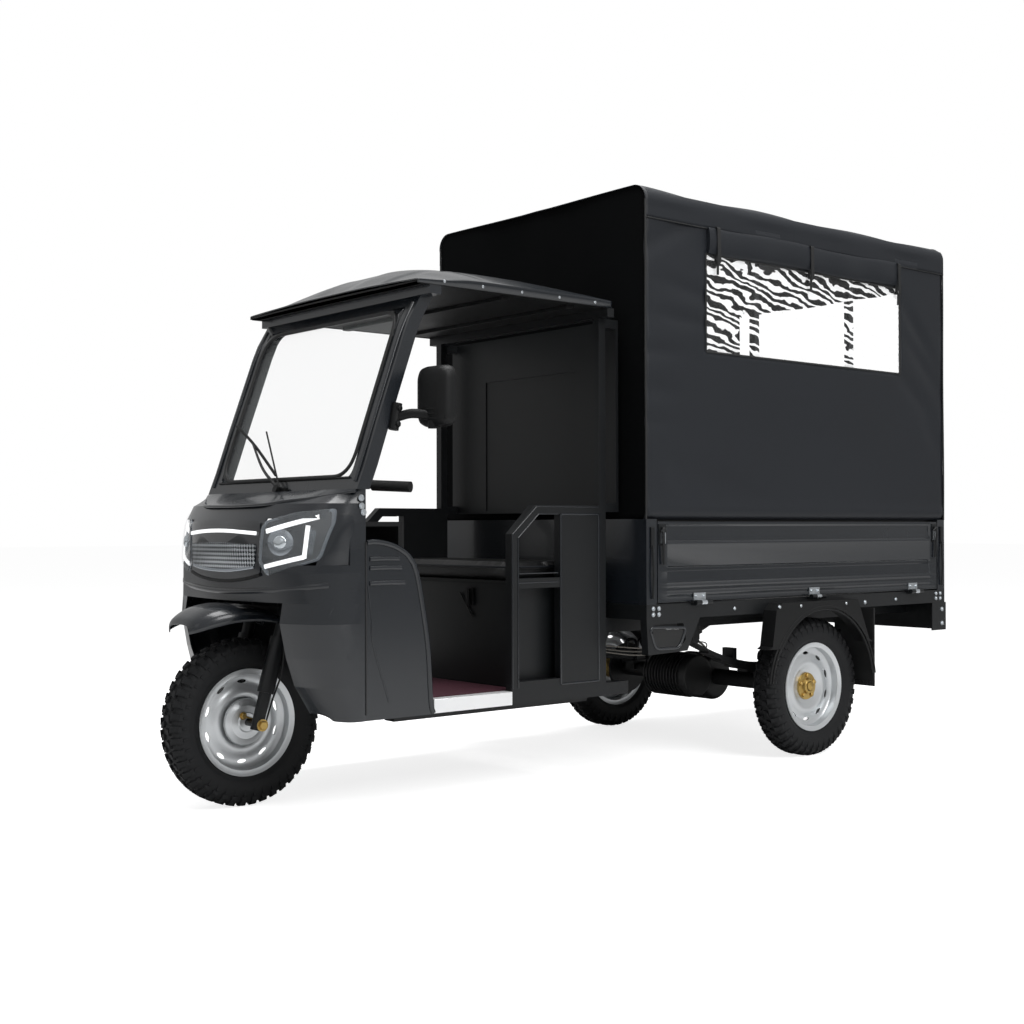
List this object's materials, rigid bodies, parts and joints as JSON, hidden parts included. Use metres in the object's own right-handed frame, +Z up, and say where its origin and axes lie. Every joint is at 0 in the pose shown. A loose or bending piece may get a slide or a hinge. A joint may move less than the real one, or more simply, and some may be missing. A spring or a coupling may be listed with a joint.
{
  "type": "electric cargo tricycle",
  "caption": "Three-wheeled electric cargo vehicle with a steered front wheel, an open roofed cab and a drop-side bed under a canvas canopy.",
  "frame": {"origin": "on the ground, at the middle of the overall length and width", "axes": "+X forward, +Y to the left side, +Z up"},
  "size_m": [3.258, 1.268, 2.027],
  "materials": {
    "body_paint": "charcoal enamel, semi gloss",
    "frame_paint": "black powder coat, satin",
    "rim_paint": "silver wheel paint",
    "tyre": "black tread rubber",
    "black_rubber": "moulded rubber",
    "black_plastic": "grained black plastic",
    "canvas": "coated tarpaulin, soft sheen",
    "window_film": "clear soft film",
    "glass": "clear glass",
    "seat_vinyl": "grained black vinyl",
    "lamp_lens": "clear lens over reflector",
    "tail_lens": "red lens",
    "floor_mat": "maroon ribbed mat",
    "cast_iron": "black painted casting"
  },
  "bodies": {
    "root": {"chassis_rails": "frame_paint", "chassis_crossmembers": "frame_paint", "steering_head": "frame_paint", "cab_floor": "frame_paint", "floor_mat": "floor_mat", "door_sills": "frame_paint", "front_cowl": "body_paint", "headlamps": "lamp_lens", "grille_lamp": "lamp_lens", "leg_shields": "body_paint", "dashboard": "black_plastic", "windshield_frame": "body_paint", "windshield_glass": "glass", "cab_roof": "body_paint", "cab_rear_posts": "frame_paint", "cab_back_wall": "frame_paint", "side_guards": "frame_paint", "side_mirror": "black_plastic", "seat_box": "frame_paint", "battery_pack": "black_plastic", "bed_deck": "frame_paint", "bed_front_wall": "body_paint", "bed_corner_posts": "body_paint", "bed_hinges": "frame_paint", "canvas_cover": "canvas", "canvas_windows": "window_film", "canopy_bows": "frame_paint", "rear_axle": "cast_iron", "leaf_springs": "cast_iron", "rear_fenders": "black_plastic", "mudflaps": "black_rubber", "rear_lamp_board": "frame_paint", "tail_lamps": "tail_lens", "side_steps": "frame_paint"},
    "seat_lid": {"seat_board": "black_plastic", "seat_cushion": "seat_vinyl"},
    "board_left": {"side_board_left": "body_paint"},
    "board_right": {"side_board_right": "body_paint"},
    "gate": {"tailgate": "body_paint"},
    "steering": {"front_fork": "frame_paint", "handlebar": "frame_paint", "handle_grips": "black_rubber", "front_fender": "body_paint"},
    "front_wheel": {"front_tyre": "tyre", "front_rim": "rim_paint"},
    "rear_wheel_left": {"rear_tyre_left": "tyre", "rear_rim_left": "rim_paint"},
    "rear_wheel_right": {"rear_tyre_right": "tyre", "rear_rim_right": "rim_paint"}
  },
  "joints": [
    {"name": "steer", "type": "hinge", "parent": "root", "child": "steering", "pos_m": [1.325, 0, 0.26], "axis": [-0.2756, 0, 0.9613], "range_deg": [-30, 30]},
    {"name": "front_wheel_spin", "type": "hinge", "parent": "steering", "child": "front_wheel", "pos_m": [1.369, 0, 0.26], "axis": [0, 1, 0], "continuous": true},
    {"name": "rear_wheel_left_spin", "type": "hinge", "parent": "root", "child": "rear_wheel_left", "pos_m": [-0.737, 0.53, 0.26], "axis": [0, 1, 0], "continuous": true},
    {"name": "rear_wheel_right_spin", "type": "hinge", "parent": "root", "child": "rear_wheel_right", "pos_m": [-0.737, -0.53, 0.26], "axis": [0, 1, 0], "continuous": true},
    {"name": "side_board_left_hinge", "type": "hinge", "parent": "root", "child": "board_left", "pos_m": [-0.737, 0.594, 0.601], "axis": [-1, 0, 0], "range_deg": [0, 110]},
    {"name": "side_board_right_hinge", "type": "hinge", "parent": "root", "child": "board_right", "pos_m": [-0.737, -0.594, 0.601], "axis": [1, 0, 0], "range_deg": [0, 110]},
    {"name": "tailgate_hinge", "type": "hinge", "parent": "root", "child": "gate", "pos_m": [-1.619, 0, 0.601], "axis": [0, -1, 0], "range_deg": [0, 170]},
    {"name": "seat_lid_hinge", "type": "hinge", "parent": "root", "child": "seat_lid", "pos_m": [0.284, 0, 0.6813], "axis": [0, -1, 0], "range_deg": [0, 70]}
  ]
}
